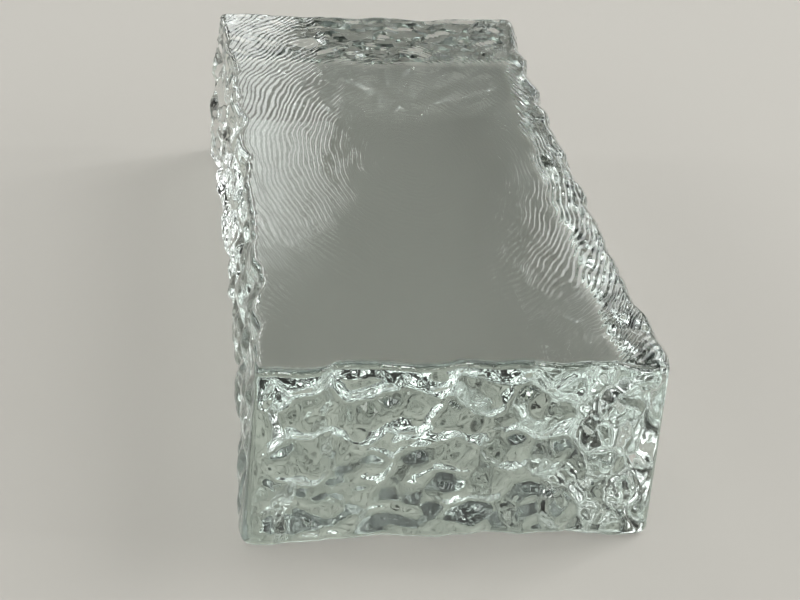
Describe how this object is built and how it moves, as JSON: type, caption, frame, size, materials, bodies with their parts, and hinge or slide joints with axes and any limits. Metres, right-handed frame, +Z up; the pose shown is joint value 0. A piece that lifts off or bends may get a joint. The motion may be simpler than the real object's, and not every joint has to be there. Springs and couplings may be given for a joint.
{
  "type": "glass block",
  "caption": "Solid cast glass building block with smooth flat beds and wavy rough-cast sides, for clear or light-passing masonry.",
  "frame": {"origin": "centre of the lower bed's outline, on the plane it rests on", "axes": "+X along the block's length, +Y across its width, +Z up from the lower bed to the upper one"},
  "size_m": [0.2, 0.1, 0.05],
  "materials": {
    "clear_cast_glass": "clear cast glass with a faint green cast, fire polished"
  },
  "bodies": {
    "root": {"glass_block": "clear_cast_glass"}
  },
  "joints": []
}
